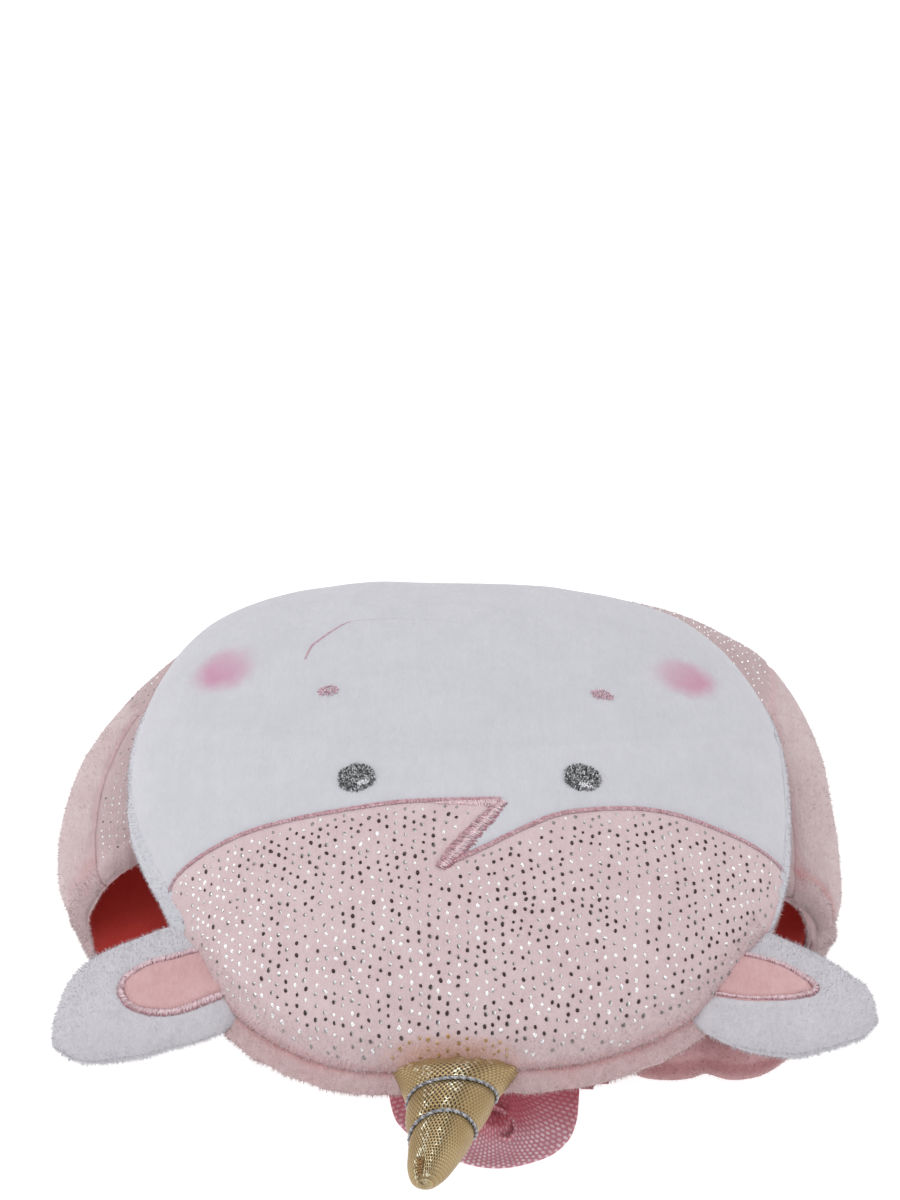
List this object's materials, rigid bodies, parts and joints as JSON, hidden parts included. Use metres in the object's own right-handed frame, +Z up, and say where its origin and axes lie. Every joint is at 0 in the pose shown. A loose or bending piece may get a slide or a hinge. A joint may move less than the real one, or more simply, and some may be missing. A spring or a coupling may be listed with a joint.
{
  "type": "kids animal backpack",
  "caption": "Child's plush unicorn-face backpack: stuffed head flap with ears and gold horn, soft lined sack, padded shoulder straps and webbing grab handle.",
  "frame": {"origin": "middle of the bounding box's bottom face, on the surface the bag lies on", "axes": "+Z up, out of the unicorn's face; +X to the viewer's right; the horn, handle and mouth of the sack are toward -Y and the muzzle is toward +Y"},
  "size_m": [0.2934, 0.2938, 0.0976],
  "materials": {
    "white_plush": "short pile",
    "pink_plush": "short pile",
    "foil_plush": "short pile with silver foil dots",
    "ear_plush": "short pile",
    "gold_lame": "metallic lame",
    "silver_cord": "metallic twist",
    "lining_cloth": "matte",
    "webbing": "woven",
    "tab_cloth": "satin",
    "adjuster_plastic": "matte"
  },
  "bodies": {
    "root": {"muzzle": "white_plush", "forehead": "white_plush", "forelock": "foil_plush", "head_back": "pink_plush", "ear_left": "white_plush", "ear_right": "white_plush", "ear_inner_left": "ear_plush", "ear_inner_right": "ear_plush", "horn": "gold_lame", "horn_cord": "silver_cord", "sack_front": "foil_plush", "sack_side_left": "pink_plush", "sack_side_right": "pink_plush", "sack_back": "pink_plush", "sack_bottom": "foil_plush", "lining": "lining_cloth", "flap_neck": "pink_plush", "handle_loop": "webbing", "rim_tab": "tab_cloth", "strap_pad_left": "pink_plush", "strap_pad_right": "pink_plush", "strap_web_left": "webbing", "strap_web_right": "webbing", "adjuster_left": "adjuster_plastic", "adjuster_right": "adjuster_plastic"}
  },
  "joints": []
}
